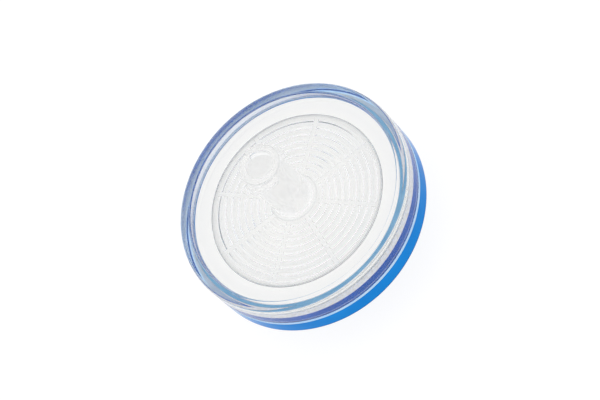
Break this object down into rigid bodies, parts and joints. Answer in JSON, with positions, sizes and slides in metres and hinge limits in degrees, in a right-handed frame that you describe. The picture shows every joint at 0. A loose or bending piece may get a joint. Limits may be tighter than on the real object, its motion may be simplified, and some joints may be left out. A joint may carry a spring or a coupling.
{
  "type": "syringe filter",
  "caption": "Round syringe filter: clear ribbed inlet shell with a female Luer lock hub, white membrane, and blue outlet shell with a male Luer slip tip.",
  "frame": {"origin": "centre of the end of the male Luer slip outlet tip", "axes": "+Z along the flow axis towards the inlet hub, so the inlet is up; +X along one of the eight radial channels"},
  "size_m": [0.0364, 0.0364, 0.0268],
  "materials": {
    "clear_acrylic": "clear moulded acrylic, polished",
    "membrane": "white matt filter membrane",
    "blue_acrylic": "blue tinted moulded acrylic, polished"
  },
  "bodies": {
    "root": {"inlet_housing": "clear_acrylic", "membrane": "membrane", "outlet_housing": "blue_acrylic"}
  },
  "joints": []
}
